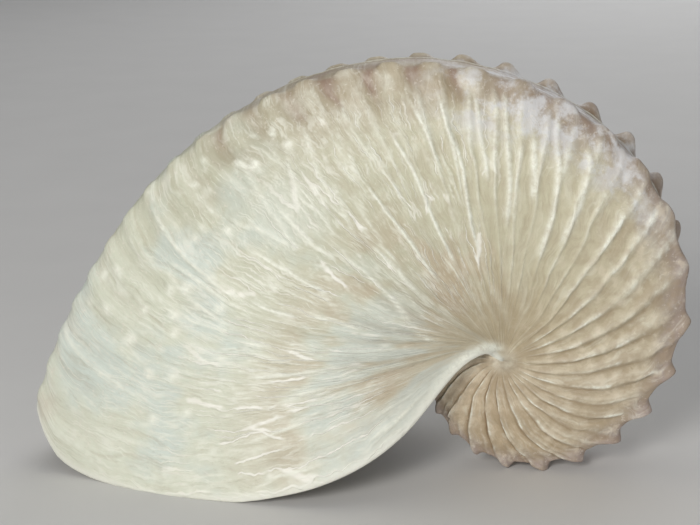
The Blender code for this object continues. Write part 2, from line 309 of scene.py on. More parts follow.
# ------------------------------------------------------------ knobs
def knob_shape(n, seed):
    """1 on a knob's blunt tip, 0 in the hollow between two knobs."""
    k = np.round(n)
    f = n - k + 0.03 * per_rib(k, seed)
    late = smooth(8.0, 11.0, k)
    # on the first whorl: narrow, steep towards the older side, hollow wide
    g = f + 0.07
    narrow = np.exp(-np.abs(g / np.where(g < 0, 0.140, 0.215)) ** 1.9)
    wrap = g - np.round(g)
    narrow = np.maximum(narrow, np.exp(-np.abs(wrap / np.where(wrap < 0, 0.140, 0.215)) ** 1.9))
    c = (0.5 + 0.5 * np.cos(2 * math.pi * f)) ** 1.25
    t = np.clip((c - 0.03) / 0.87, 0, 1)
    broad = t * t * (3 - 2 * t)
    shape = (narrow * (1 - late) + broad * late) * (1 + 0.10 * per_rib(k, seed + 1))
    if seed < 400:
        # the near row sinks to low swellings where the shell turns over
        low = smooth(6.5, 9.0, n) * (1 - smooth(14.5, 17.5, n))
        shape = shape * (1 - 0.55 * low) + 0.25 * low
    return shape


# ------------------------------------------------------------ growth lines and columns
INDEX_FIRST = float(knob_index(np.array(200.0)))
INDEX_LIP = float(knob_index(np.array(ANGLE_LIP)))
HIDDEN_ROWS = 24


def line_stages():
    """Growth lines: crowded at the groove of each early rib, then even."""
    out = list(np.linspace(ANGLE_TIP, 200.0, HIDDEN_ROWS, endpoint=False))
    steps = (-0.02, 0.0, 0.02, 0.04, 0.065, 0.095, 0.13, 0.175, 0.23, 0.30, 0.38, 0.47, 0.56, 0.65, 0.74, 0.83, 0.91)
    stops = []
    for k in range(int(math.floor(INDEX_FIRST)) - 1, 5):
        stops += [k - 0.25 + g for g in steps if INDEX_FIRST <= k - 0.25 + g < 4.0]
    n = stops[-1] + 1.0 / 21.0
    while n < INDEX_LIP - 1e-6:
        stops.append(n)
        n += 1.0 / (20.5 if n < 22.5 else 18.5)
    if INDEX_LIP - stops[-1] < 0.5 / 18.5:
        stops.pop()
    stops.append(INDEX_LIP)
    return np.array(out + list(knob_angle(np.array(stops))))


STAGE = line_stages()
INDEX = knob_index(STAGE)
AXIS_RHO = 0.5
COLUMNS = np.array([0.0, 0.006, 0.014, 0.024, 0.036, 0.049, 0.063, 0.078, 0.094, 0.111]
                   + list(np.linspace(0.129, 0.952, 47)) + [0.968, 0.981, 0.991, 1.0])
BAND = np.array([-0.94, -0.82, -0.64, -0.38, 0.0, 0.34, 0.50, 0.57, 0.64, 0.80, 0.94])


def tip_round(points, stage):
    """The first tip closes to a point."""
    t = np.clip((stage - ANGLE_TIP) / TIP_SPAN, 0, 1)
    k = np.sqrt(np.maximum(1 - (1 - t) ** 2, 0))[:, None, None]
    a = np.radians(stage)
    r = keel_radius(stage)
    c = np.stack([0.55 * r * np.cos(a), 0 * r, 0.55 * r * np.sin(a)], -1)[:, None, :]
    return c + k * (points - c)


def far_shift(n):
    """The far knobs lag more and more behind the near ones on the first whorl."""
    return FAR_ROW_SHIFT * smooth(0.0, 7.0, n)


def waver(n, s, side):
    """The growth lines waver a little, in knob pitches."""
    q = 0 if side < 0 else 50
    w = (0.085 * noise(n * 0.9, s * 5.0, 211 + q) + 0.045 * noise(n * 1.9, s * 12.0, 212 + q)
         + 0.018 * noise(n * 3.0, s * 30.0, 213 + q))
    return w * (1 - smooth(0.88, 1.0, s)) * smooth(0.03, 0.2, s)


def sheet_points(stage, knobs=True, columns=COLUMNS, wavy=True):
    """The smooth sheet: rows are growth lines, columns run near axis - keel - far axis."""
    st = stage[:, None]
    r = keel_radius(st)
    n = knob_index(st)
    h = knob_height(st) * (1 + 0.22 * smooth(0.0, 4.0, n) * (1 - smooth(14.0, 17.0, n)))
    pitch = knob_angle(n + 0.5) - knob_angle(n - 0.5)
    flanks = []
    bumps = []
    for side, seed in ((-1, 301), (1, 401)):
        shape = knob_shape(n - (far_shift(n) if side > 0 else 0.0), seed) if knobs else 0 * n
        if side > 0:
            domed = smooth(6.0, 9.0, n) * (1 - smooth(14.0, 17.0, n))
            f = n - far_shift(n)
            f = f - np.round(f)
            shape = shape + domed * ((1.12 + 0.15 * per_rib(np.round(n - far_shift(n)), 77)) * np.exp(-(np.abs(f) / 0.25) ** 2.6) - shape)
        bumps.append(h * shape)
        s = columns[None, :]
        drop = h * (1 - shape)
        rho = AXIS_RHO + (r - AXIS_RHO) * s - drop * smooth(0.76, 1.0, s)
        share = rho / r
        ang = st + sweep(share, st)
        if wavy:
            ang = ang + pitch * waver(n, s + 0 * n, side)
        lump = smooth(0.84, 0.955, s) * (1 - 0.45 * smooth(0.965, 1.0, s))
        swell = 0.55 - 0.22 * smooth(8.0, 11.0, n)
        y = half_width(rho, ang) + swell * h * shape * lump
        a = np.radians(ang)
        flanks.append(np.stack([rho * np.cos(a), side * y, rho * np.sin(a)], -1))
    v = BAND[None, :]
    w = keel_half(st)
    near, far = bumps
    base = r - h
    rho = (base + CROWN * (1 - v ** 2) * np.minimum(1.0, r / 20.0)
           + near * (1 - smooth(0.0, 0.5, v + 1)) + far * (1 - smooth(0.0, 0.5, 1 - v)))
    y = v * (w + 0.25 * np.where(v < 0, near, far))
    a = np.radians(st) + 0 * v
    band = np.stack([rho * np.cos(a), y, rho * np.sin(a)], -1)
    grid = np.concatenate([flanks[0], band, flanks[1][:, ::-1]], axis=1)
    return grid


def relax_corner(grid, rounds=3):
    """Rounds the two edges of the keel across the growth lines."""
    nc = len(COLUMNS)
    for centre in (nc - 1, nc + len(BAND)):
        for _ in range(rounds):
            lo, hi = centre - 2, centre + 3
            mid = grid[:, lo:hi]
            grid[:, lo:hi] = 0.5 * mid + 0.25 * grid[:, lo - 1:hi - 1] + 0.25 * grid[:, lo + 1:hi + 1]
    return grid


def grid_normals(grid):
    """Unit normals pointing out of the shell."""
    du = np.gradient(grid, axis=0)
    dv = np.gradient(grid, axis=1)
    n = np.cross(du, dv)
    n /= np.maximum(np.linalg.norm(n, axis=-1, keepdims=True), 1e-9)
    # outwards on the keel is away from the axis
    mid = grid.shape[1] // 2
    radial = grid[-5, mid] * np.array([1, 0, 1])
    if n[-5, mid].dot(radial) < 0:
        n = -n
    return n


# ------------------------------------------------------------ relief
def relief(index, share, rho, stage, side, points, plain_points):
    """Height above the smooth sheet and the colour masks, for one flank."""
    n = index if side < 0 else index - far_shift(index)
    seed = 11 if side < 0 else 61
    white_and_highlight = np.zeros_like(rho)
    tan = np.zeros_like(rho)
    rust = np.zeros_like(rho)
    height = np.zeros_like(rho)

    pitch_deg = knob_angle(index + 0.5) - knob_angle(index - 0.5)
    pitch_mm = rho * np.radians(pitch_deg)
    early = 1 - smooth(9.0, 12.5, n)
    mid = smooth(8.0, 10.5, n) * (1 - smooth(15.0, 17.5, n))
    # rib number: one rib to a knob at first, then about 1.6
    ribs = n + 0.3 * np.logaddexp(0.0, (n - 4.2) / 0.5)
    denser = 1 + 0.6 * smooth(3.2, 5.2, n)
    ridged = smooth(3.0, 5.5, n)

    # ribs of the first whorl: a narrow groove, a crest beside it, a long easy slope
    fade_hub = smooth(0.06, 0.20, share)
    m = ribs + 0.25 + 0.05 * noise(n * 0.6, share * 4.0, seed + 1) + ridged * 0.12 * noise(n * 0.9, share * 3.0, seed + 101)
    k = np.floor(m)
    g = m - k
    amp = np.clip(0.17 * pitch_mm / denser, 0, 0.64) * (1 + 0.25 * per_rib(k, seed + 2))
    amp = amp * (1 + 0.35 * noise(n * 0.5, share * 7.0, seed + 4) + 0.25 * noise(n * 0.9, share * 24.0, seed + 104))
    back = 0.58 * (1 - np.exp(-np.clip(g - 0.12, 0, 1) / 0.12)) + 0.42 * np.clip((g - 0.12) / 0.88, 0, 1) ** 1.3
    rib = np.where(g < 0.12, smooth(0.0, 0.12, g), 1 - back)
    reach = smooth(1.5, 4.2, rho) * fade_hub
    round_rib = np.exp(-(np.abs(g - 0.20) / np.where(g < 0.20, 0.17, 0.24)) ** 1.8) + np.exp(-(np.abs(g - 1.20) / 0.17) ** 1.8)
    rib = rib * (1 - ridged) + round_rib * ridged
    inland = 1 - 0.85 * smooth(0.78, 0.92, share)
    patchy_rib = 1 - ridged * 0.55 * smooth(0.1, 0.6, noise(ribs * 0.9, share * 5.0, seed + 105))
    height += early * amp * patchy_rib * reach * (rib - 0.45) * (1 - (0.45 + 0.35 * ridged) * smooth(0.75, 0.95, share))
    gg = np.where(g > 0.5, g - 1, g)
    broken = smooth(-0.7, 0.3, noise(n * 0.7, share * 9.0, seed + 6))
    # the brown line in each groove is partly the shell's tint and partly painted shade of the groove
    groove = (0.85 * bell(gg + 0.005, 0.042) * (1 - 0.75 * ridged) + 0.40 * bell(gg + 0.04, 0.16)) * (0.35 + 0.65 * broken)
    height -= early * reach * 0.14 * (1 - ridged) * bell(gg, 0.04) * amp
    tan += early * reach * groove * 0.92 * (1 - 0.6 * smooth(0.80, 0.97, share))
    shine = smooth(-0.45, 0.45, noise(n * 1.1, share * 14.0, seed + 8) + 0.45 * noise(n * 2.0, share * 40.0, seed + 108))
    top = 0.125 + 0.065 * ridged
    white_and_highlight += early * reach * inland * patchy_rib * (1.0 * bell(g - top, 0.040 + 0.035 * ridged) * shine + 0.18 * bell(g - 0.22, 0.14))
    # lesser ribs on the slope, each with its own place and length
    for at, sd in ((0.46, 3), (0.70, 203)):
        place = g - at - 0.08 * per_rib(k, seed + sd + 1)
        on = smooth(-0.2, 0.45, noise(n * 0.45 + 3 * at, share * 3.5, seed + sd)) * (1 - 0.5 * ridged)
        lesser = bell(place, 0.055 + 0.03 * ridged) * on * smooth(0.25, 0.5, share)
        height += early * amp * 0.36 * lesser * (1 - smooth(0.88, 0.97, share))
        white_and_highlight += early * 0.45 * lesser * inland * (0.4 + 0.6 * shine)
        # a brown line beside each lesser rib: partly tint, partly painted shade
        tan += early * 0.30 * bell(place + 0.09, 0.05) * on * smooth(0.25, 0.5, share)

    # stronger, narrower ribs with flat hollows where the shell turns over:
    # thin threads below, pale spearheads above
    k = np.round(ribs + 0.05)
    d = ribs + 0.05 - k + 0.08 * noise(n * 0.8, share * 7.0, seed + 9)
    wide = 0.09 + 0.08 * bell(share - 0.80, 0.10)
    crest = np.exp(-np.abs(d / wide) ** 1.6)
    crest = crest * (0.75 + 0.25 * per_rib(k, seed + 114)) * (1 - 0.6 * smooth(0.0, 0.6, noise(ribs * 0.8, share * 4.0, seed + 115)))
    height += mid * 0.36 * crest * smooth(0.18, 0.4, share) * (1 - 0.6 * smooth(0.85, 1.0, share))
    white_and_highlight += mid * 0.7 * crest * smooth(0.25, 0.5, share) * (1 - 0.6 * smooth(0.90, 0.96, share)) * (0.5 + 0.5 * shine)
    spear = smooth(9.5, 11.0, n) * (1 - smooth(18.0, 19.5, n))
    tip = bell(d, 0.07 + 0.14 * bell(share - 0.81, 0.07)) * smooth(0.50, 0.72, share) * (1 - smooth(0.86, 0.925, share))
    strong = 0.65 + 0.35 * per_rib(k, seed + 14)
    height += spear * 0.30 * tip * strong
    white_and_highlight += spear * 0.75 * tip * strong

    # low folds that run in from the keel knobs of the last half whorl
    late = smooth(11.0, 14.0, n)
    fold = (0.5 + 0.5 * np.cos(2 * math.pi * n))
    inward = 0.80 - 0.14 * smooth(17.0, 24.0, n) + 0.06 * noise(n * 1.0, 0 * n, seed + 36)
    strength = 0.55 * late * smooth(0.0, 1.0, (share - inward) / (0.97 - inward)) * (0.35 + 0.65 * smooth(18.0, 22.0, n)) * (1 - 0.4 * smooth(24.0, 30.0, n))
    strength = strength * (1 + 0.5 * noise(n * 0.4, share * 4.0, seed + 34))
    height += strength * (fold ** 1.4 - 0.45)
    tan += 0.20 * late * smooth(0.82, 0.95, share) * (1 - fold) ** 2 * (1 - 0.5 * smooth(20.0, 25.0, n))
    # lumpy skin beside the keel where the shell turns over
    crust = smooth(8.0, 11.0, n) * (1 - smooth(21.0, 25.0, n)) * smooth(0.80, 0.92, share)
    height += 0.22 * crust * fbm(n * 1.7, share * 13.0, seed + 38, 3)
    lump = smooth(0.12, 0.5, noise(n * 2.1, share * 17.0, seed + 39))
    white_and_highlight += 0.30 * crust * lump
    tan += 0.30 * crust * smooth(0.1, 0.6, noise(n * 1.7, share * 15.0, seed + 139))

    # brown hollows and lines between the keel knobs
    hollow = bell(np.abs(n - np.round(n)) - 0.5, 0.24)
    zone = smooth(-4.0, 1.0, n) * (1 - smooth(19.0, 22.0, n)) * (0.45 + 0.55 * smooth(-0.4, 0.4, noise(n * 1.3, share * 9.0, seed + 35)))
    rust += zone * hollow * smooth(0.90, 0.985, share)
    line = bell(np.abs(n - np.floor(n) - 0.5 - 0.12 * noise(n * 0.9, share * 20, seed + 31)), 0.11)
    arcs = smooth(13.0, 16.0, n) * (1 - smooth(21.0, 23.0, n)) * smooth(0.87, 0.93, share)
    height -= 0.20 * arcs * line
    rust += 0.9 * arcs * line * smooth(-0.4, 0.3, noise(n * 0.8, share * 9.0, seed + 33))

    # folds that fan out from the umbilicus
    fan = late * bell(share - 0.27, 0.20) * fade_hub
    f = n * 0.62 + 1.0 * noise(n * 0.4, share * 2.5, seed + 5)
    fold = 0.5 + 0.5 * np.cos(2 * math.pi * f)
    uneven = 0.55 + 0.45 * noise(n * 0.5, share * 4.0, seed + 55)
    height += 0.36 * fan * (fold ** 1.5 - 0.4) * uneven
    tan += 0.36 * fan * (1 - fold) ** 2.5 * uneven
    white_and_highlight += 0.20 * fan * fold ** 3

    # broad soft folds along the last growth lines
    height += 0.16 * smooth(19.0, 23.0, n) * smooth(0.35, 0.6, share) * noise(n * 1.15, share * 3.2, seed + 57)
    # long wavy threads: ridged noise stretched along the growth lines
    warp = 0.26 * noise(n * 0.8, share * 7.0, seed + 7) + 0.05 * noise(n * 1.6, share * 20.0, seed + 77)
    for scale, length, hgt, sd in ((1.5, 1.3, 0.17, 21), (2.7, 2.0, 0.12, 22)):
        q = noise((n + warp) * scale, share * length + 0.1 * n, seed + sd)
        steep = np.abs(noise((n + warp + 0.04) * scale, share * length + 0.1 * (n + 0.04), seed + sd) - q) / 0.04
        ridge = np.clip(1 - np.abs(q) / (0.11 * np.minimum(steep, 1.6) + 0.004), 0, 1) ** 1.1 * smooth(0.12, 0.5, steep)
        patchy = smooth(-0.25, 0.45, noise(n * 0.8 + 9, share * 6.0, seed + sd + 3))
        part = (smooth(14.5, 17.0, n) * ridge * patchy * smooth(0.12, 0.28, share)
                * (1 - 0.8 * smooth(0.80, 0.93, share)))
        height += hgt * part
        white_and_highlight = np.maximum(white_and_highlight, np.minimum(0.85, 5.0 * hgt) * part)
    # slight unevenness everywhere, and crinkles along the last growth lines
    crinkled = np.clip(1 - np.abs(noise((n + 0.5 * warp) * 4.2, share * 7.0, seed + 26)) / 0.3, 0, 1)
    height += 0.035 * smooth(15.0, 19.0, n) * smooth(0.12, 0.3, share) * crinkled * smooth(-0.3, 0.4, noise(n * 0.9, share * 8.0, seed + 27))
    height += 0.025 * fbm(n * 5.0, share * 22.0, seed + 40, 2)
    height += 0.10 * fbm(n * 1.1, share * 6.0, seed + 45, 3)
    # chalky lumps on the early keel knobs
    knobby = smooth(-1.0, 2.0, n) * (1 - smooth(14.0, 18.0, n)) * smooth(0.76, 0.90, share)
    height += 0.26 * knobby * fbm(n * 3.0, share * 24.0, seed + 47, 4)
    # crumbs along the crests
    crumbs = smooth(0.1, 0.7, noise(n * 9.0, share * 60.0, seed + 48))
    height += 0.07 * crumbs * np.clip(white_and_highlight, 0, 1) * (1 - smooth(14.0, 17.0, n))
    white_and_highlight *= 1 - 0.45 * (1 - smooth(14.0, 17.0, n)) * smooth(-0.1, 0.6, noise(n * 7.0, share * 45.0, seed + 49))

    # traced threads and spots
    lag = 0.0 if side < 0 else 0.67
    for w, h, pale, line in STROKES:
        pts = np.array(line, float) + np.array([lag, 0.0])
        add_thread(pts, w, h, pale, index, share, points, plain_points, height, white_and_highlight, tan)
    for kn, ks, radius, pale in SPOTS:
        row = int(np.argmin(np.abs(INDEX - kn - lag)))
        col = int(np.argmin(np.abs(share[row] - ks)))
        c = plain_points[row, col]
        lo, hi = max(0, row - 16), min(len(INDEX), row + 17)
        d = np.linalg.norm(points[lo:hi] - c, axis=-1)
        d = d * (1 + 0.25 * noise(points[lo:hi, :, 0] * 1.1, points[lo:hi, :, 2] * 1.1, seed + 51))
        b = np.exp(-(d / (1.05 * radius)) ** 4)
        height[lo:hi] += 0.14 * b
        white_and_highlight[lo:hi] = np.maximum(white_and_highlight[lo:hi], 1.25 * pale * b)
    return height, white_and_highlight, tan, rust


def add_thread(line, w, h, pale, index, share, points, plain_points, height, white_and_highlight, tan):
    """A raised thread, or a groove, along a line of (index, share) points."""
    t = np.linspace(0, len(line) - 1, 12 * (len(line) - 1) + 1)
    kn = np.interp(t, np.arange(len(line)), line[:, 0])
    ks = np.interp(t, np.arange(len(line)), line[:, 1])
    # place of each point on the smooth sheet
    ri = np.interp(kn, INDEX, np.arange(len(INDEX)))
    r0 = np.clip(np.floor(ri).astype(int), 0, len(INDEX) - 2)
    fr = (ri - r0)[:, None]
    P = []
    for i in range(len(t)):
        row = share[r0[i]]
        c = np.interp(ks[i], row, np.arange(len(row)))
        c0 = int(min(max(math.floor(c), 0), len(row) - 2))
        fc = c - c0
        a = plain_points[r0[i], c0] * (1 - fc) + plain_points[r0[i], c0 + 1] * fc
        b = plain_points[r0[i] + 1, c0] * (1 - fc) + plain_points[r0[i] + 1, c0 + 1] * fc
        P.append(a * (1 - fr[i]) + b * fr[i])
    P = np.array(P)
    # length along the thread, and the block of sheet points around it
    length = np.concatenate([[0], np.cumsum(np.linalg.norm(np.diff(P, axis=0), axis=1))])
    lo = max(0, int(ri.min()) - 16)
    hi = min(len(INDEX), int(ri.max()) + 17)
    cl = int(np.searchsorted(COLUMNS, max(0.0, ks.min() - 0.05)))
    ch = int(min(len(COLUMNS), np.searchsorted(COLUMNS, ks.max() + 0.05) + 1))
    block = points[lo:hi, cl:ch].reshape(-1, 3)
    a, b = P[:-1], P[1:]
    ab = b - a
    L2 = np.maximum((ab ** 2).sum(1), 1e-9)
    best = np.full(len(block), 1e9)
    where = np.zeros(len(block))
    for i in range(len(a)):
        u = np.clip(((block - a[i]) @ ab[i]) / L2[i], 0, 1)
        d = np.linalg.norm(block - (a[i] + u[:, None] * ab[i]), axis=1)
        m = d < best
        best[m] = d[m]
        where[m] = length[i] + u[m] * math.sqrt(L2[i])
    total = length[-1]
    ends = np.clip(np.minimum(where, total - where) / min(2.5, 0.4 * total), 0, 1) ** 0.7
    beads = 0.80 + 0.20 * np.sin(where * 2.1 + 7 * line[0, 0]) * np.sin(where * 0.83 + 3 * line[0, 1])
    ww = w * (0.66 + 0.30 * ends)
    b = np.exp(-(best / ww) ** 2) * ends * beads
    skirt = np.exp(-(best / (ww * 2.8)) ** 2) * ends
    shape = (hi - lo, ch - cl)
    amount = ((1.15 * h if h > 0 else 0.5 * h) * (0.85 * b + 0.15 * skirt)).reshape(shape)
    height[lo:hi, cl:ch] += amount
    if h > 0:
        white_and_highlight[lo:hi, cl:ch] = np.maximum(white_and_highlight[lo:hi, cl:ch], (pale * (1.25 * b + 0.10 * skirt)).reshape(shape))
    else:
        tan[lo:hi, cl:ch] = np.maximum(tan[lo:hi, cl:ch], (0.30 * pale * (0.7 * b + 0.3 * skirt)).reshape(shape))


def world(p):
    """From the winding frame to the model's frame, still in millimetres."""
    c, s = math.cos(TURN), math.sin(TURN)
    q = np.empty_like(p)
    q[..., 0] = p[..., 0] * c - p[..., 2] * s + SHIFT
    q[..., 1] = p[..., 1]
    q[..., 2] = p[..., 0] * s + p[..., 2] * c - GROUND
    return q


def zipper(faces, a, pa, b, pb):
    """Triangles between two strings of vertices with rising parameters."""
    i = j = 0
    while i < len(a) - 1 or j < len(b) - 1:
        if j == len(b) - 1 or (i < len(a) - 1 and pa[i + 1] <= pb[j + 1] + 1e-9 and not (
                abs(pa[i + 1] - pb[j + 1]) < 1e-9 and pa[i] > pb[j])):
            faces.append((a[i], a[i + 1], b[j]))
            i += 1
        else:
            faces.append((a[i], b[j + 1], b[j]))
            j += 1


def build_shell():
    nc = len(COLUMNS)
    grid = relax_corner(sheet_points(STAGE), 2)
    plain_grid = relax_corner(sheet_points(STAGE, wavy=False), 2)
    normals = grid_normals(grid)
    rows, cols = grid.shape[:2]

    rho = np.hypot(grid[..., 0], grid[..., 2])
    radius = keel_radius(STAGE)[:, None]
    share = rho / radius
    stage = STAGE[:, None] + 0 * rho
    index = INDEX[:, None] + 0 * rho
    height = np.zeros((rows, cols))
    white_and_highlight = np.zeros((rows, cols))
    tan = np.zeros((rows, cols))
    rust = np.zeros((rows, cols))

    for side in (-1, 1):
        sl = slice(0, nc) if side < 0 else slice(cols - 1, cols - 1 - nc, -1)
        h, w, t, u = relief(index[:, sl], np.clip(share[:, sl], 0, 1), rho[:, sl], stage[:, sl], side, grid[:, sl], plain_grid[:, sl])
        fade = 1 - 0.75 * smooth(0.94, 1.0, COLUMNS)[None, :]
        height[:, sl] = h * fade
        white_and_highlight[:, sl] = w
        tan[:, sl] = t
        rust[:, sl] = u
    knobs = (knob_shape(INDEX, 301)[:, None] * (1 - smooth(0.1, 0.6, BAND + 1))[None, :]
             + knob_shape(INDEX - far_shift(INDEX), 401)[:, None] * (1 - smooth(0.1, 0.6, 1 - BAND))[None, :])
    blotch = 0.35 + 0.65 * smooth(-0.3, 0.5, noise(index[:, nc:nc + len(BAND)] * 1.6, BAND[None, :] * 1.5 + 20, 95))
    rust[:, nc:nc + len(BAND)] = 0.75 * blotch * np.clip(1 - 1.1 * knobs, 0, 1) * (smooth(-2.0, 4.0, INDEX) * (1 - smooth(19.0, 22.5, INDEX)))[:, None]
    bright = smooth(6.0, 9.0, INDEX) * (1 - smooth(18.0, 21.0, INDEX)) * (0.75 + 0.25 * noise(INDEX * 3.0, 0 * INDEX, 93))
    height[:, nc:nc + len(BAND)] = 0.12 * (smooth(-4.0, 2.0, INDEX) * (1 - 0.6 * smooth(18.0, 24.0, INDEX)))[:, None] * fbm(index[:, nc:nc + len(BAND)] * 3.0, BAND[None, :] * 2.0 + 40, 91, 3)
    # a thin raised thread along the foot of the far knobs: its white is a painted highlight, and the dark lines beside
    # it are painted shadow
    for v, pale, painted_shadow, lift in ((0.50, 0.0, 0.4, -0.05), (0.57, 1.0, 0.0, 0.22), (0.64, 0.0, 1.0, -0.12)):
        col = nc + int(np.argmin(np.abs(BAND - v)))
        white_and_highlight[:, col] += pale * bright
        rust[:, col] = rust[:, col] * (1 - pale * bright)
        tan[:, col] += painted_shadow * bright
        height[:, col] += lift * bright

    # hidden first part: plain
    plain = smooth(190.0, 225.0, STAGE)[:, None]
    height *= plain

    # thick smooth callus where the rim leaves the umbilicus, and the rim's bead
    lip_angle = ANGLE_LIP + sweep(np.clip(rho / keel_radius(np.array(ANGLE_LIP)), 0, 1), np.array(ANGLE_LIP))
    here = stage + sweep(np.clip(share, 0, 1), stage)
    gap = np.radians(lip_angle - here) * rho
    ridge = np.exp(-(np.clip(gap - 0.9, -5, None) / 1.5) ** 2) * np.exp(-np.clip(rho - 4.0, 0, None) / 7.0) * (stage > 380)
    quiet = 1 - 0.9 * np.exp(-(gap / 3.2) ** 2) * np.exp(-np.clip(rho - 6.0, 0, None) / 9.0) * (stage > 380)
    height = height * quiet + 0.95 * ridge
    lip = np.zeros_like(rho)
    from_lip = np.zeros_like(rho)
    step = np.linalg.norm(np.diff(grid, axis=0), axis=-1)
    from_lip[:-1] = np.cumsum(step[::-1], axis=0)[::-1]
    lip = np.exp(-(from_lip / 0.9) ** 2)
    height = height + 0.16 * lip
    white_and_highlight = np.maximum(white_and_highlight * quiet, np.clip(ridge * 1.8, 0, 1.15))
    tan = tan * quiet
    centre = 1 - smooth(1.2, 3.2, rho)
    height = height * (1 - 0.8 * centre) 
    white_and_highlight = np.maximum(white_and_highlight * (1 - centre), 0.30 * centre * (stage > 150))
    tan = tan * (1 - centre)

    outer = grid + normals * height[..., None]
    boss = smooth(150.0, 188.0, stage) * (1 - smooth(1.2, 4.4, rho))
    level = 7.72 - 0.035 * rho ** 2 + 0.20 * smooth(200.0, 540.0, stage)
    outer[..., 1] = np.sign(outer[..., 1]) * (np.abs(outer[..., 1]) * (1 - boss) + level * boss)
    outer = tip_round(outer, STAGE)

    # the inner surface, coarser: every few growth lines, every other column
    row_pick = sorted(set(list(range(0, rows - 1, 5)) + [rows - 1]))
    col_pick = sorted(set(list(range(0, cols, 3)) + [cols - 1]))
    smoothed = relax_corner(sheet_points(STAGE, knobs=False, wavy=False), 6)
    inside_n = grid_normals(smoothed)
    wall = np.minimum(WALL, 0.05 * keel_radius(STAGE) + 0.02)[:, None]
    wave = 0.12 * np.cos(2 * math.pi * index) * smooth(0.5, 0.9, share) * smooth(2.0, 6.0, index)
    inner = smoothed - inside_n * (wall + 0 * rho)[..., None] + inside_n * wave[..., None] * 0.8
    inner = tip_round(inner, STAGE)
    # the inner surface at the picked rows and columns
    inner_pts = inner[np.ix_(row_pick, col_pick)]

    # rim: a rounded edge past the last growth line
    ahead = outer[-1] - outer[-3]
    ahead /= np.maximum(np.linalg.norm(ahead, axis=-1, keepdims=True), 1e-9)
    inner_full = inner[-1]
    mid = 0.5 * (outer[-1] + inner_full)
    thick = np.linalg.norm(outer[-1] - inner_full, axis=-1, keepdims=True)
    rim_a = 0.75 * outer[-1] + 0.25 * inner_full + ahead * 0.36 * thick
    rim_b = mid + ahead * 0.46 * thick

    # at the winding axis the growth lines of each sector meet in one point
    sector = np.floor((STAGE[1:] - ANGLE_TIP) / 24.0).astype(int)
    sector -= sector[0]
    heads = [int(np.flatnonzero(sector == k).mean()) for k in range(sector[-1] + 1)]

    def ends(values):
        return np.concatenate([[values[1:][sector == k, c].mean(axis=0) for k in range(sector[-1] + 1)]
                               for c in (0, cols - 1)])
    apex = ends(outer)
    on_axis = np.tile([STAGE[1:][sector == k].min() > ANGLE_TIP + TIP_SPAN for k in range(sector[-1] + 1)], 2)
    apex[on_axis, 0] = 0.0
    apex[on_axis, 2] = 0.0

    inner_tip = 0.4 * inner_pts[0, :1] + 0.6 * inner_pts[1].mean(axis=0)[None, :]
    verts = [outer[1:, 1:-1].reshape(-1, 3), apex, inner_pts[1:].reshape(-1, 3), rim_a, rim_b,
             outer[0, :1], inner_tip]
    offs = np.cumsum([0] + [len(v) for v in verts])
    coords = world(np.concatenate(verts))
    coords[:, 2] = np.maximum(coords[:, 2], 0.0)
    O = np.empty((rows - 1, cols), int)
    O[:, 1:-1] = np.arange((rows - 1) * (cols - 2)).reshape(rows - 1, cols - 2)
    O[:, 0] = offs[1] + sector
    O[:, -1] = offs[1] + len(heads) + sector
    ir, ic = len(row_pick), len(col_pick)
    I = (np.arange((ir - 1) * ic).reshape(ir - 1, ic) + offs[2])
    A = np.arange(cols) + offs[3]
    B = np.arange(cols) + offs[4]
    tip_o, tip_i = offs[5], offs[6]

    faces = []
    q = np.stack([O[:-1, :-1], O[:-1, 1:], O[1:, 1:], O[1:, :-1]], -1).reshape(-1, 4)
    faces += [tuple(dict.fromkeys(int(x) for x in f)) for f in q]
    q = np.stack([I[:-1, :-1], I[1:, :-1], I[1:, 1:], I[:-1, 1:]], -1).reshape(-1, 4)
    faces += [tuple(int(x) for x in f) for f in q]
    for j in range(cols - 1):
        faces.append((int(tip_o), int(O[0, j + 1]), int(O[0, j])))
    for j in range(ic - 1):
        faces.append((int(tip_i), int(I[0, j]), int(I[0, j + 1])))
    # rim
    for s, t in ((O[-1], A), (A, B)):
        for j in range(cols - 1):
            faces.append((int(s[j]), int(s[j + 1]), int(t[j + 1]), int(t[j])))
    tri = []
    zipper(tri, [int(x) for x in B], list(range(cols)), [int(x) for x in I[-1]], list(col_pick))
    # edges beside the axis
    rp = [r for r in row_pick[1:]]
    for j, jj in ((0, 0), (cols - 1, ic - 1)):
        a = [int(tip_o)] + [int(O[h, j]) for h in heads] + [int(A[j]), int(B[j])]
        pa = [0] + [h + 1 for h in heads] + [rows - 1 + 0.3, rows - 1 + 0.6]
        b = [int(tip_i)] + [int(x) for x in I[:, jj]]
        pb = [0] + rp
        zipper(tri, a, pa, b, pb)
    faces += tri

    mesh = bpy.data.meshes.new("shell_wall")
    mesh.from_pydata([tuple(c * MM) for c in coords], [], faces)
    mesh.validate()

    def put(name, o, i_val, rim):
        flat = np.concatenate([o[1:, 1:-1].reshape(-1), ends(o), np.full((ir - 1) * ic, i_val) if np.isscalar(i_val)
                               else i_val[np.ix_(row_pick, col_pick)][1:].reshape(-1),
                               rim, rim, o[0, :1], o[0, :1]])
        attr = mesh.attributes.new(name, 'FLOAT', 'POINT')
        attr.data.foreach_set("value", flat.astype(np.float32))

    put("line", index, index, index[-1])
    put("share", share, share, share[-1])
    put("white_and_highlight", np.clip(white_and_highlight, 0, 1.2), 0.0, np.full(cols, 1.0))
    put("tan", np.clip(tan, 0, 1.0), 0.0, np.zeros(cols))
    put("rust", np.clip(rust, 0, 1.0), 0.0, np.zeros(cols))
    put("lip", lip, 0.0, np.ones(cols))
    put("inside", 0 * rho, 1.0, np.zeros(cols))
    side = np.where(np.arange(cols) < cols / 2, 0.0, 1.0)[None, :] + 0 * rho
    put("side", side, side, side[-1])
    return mesh


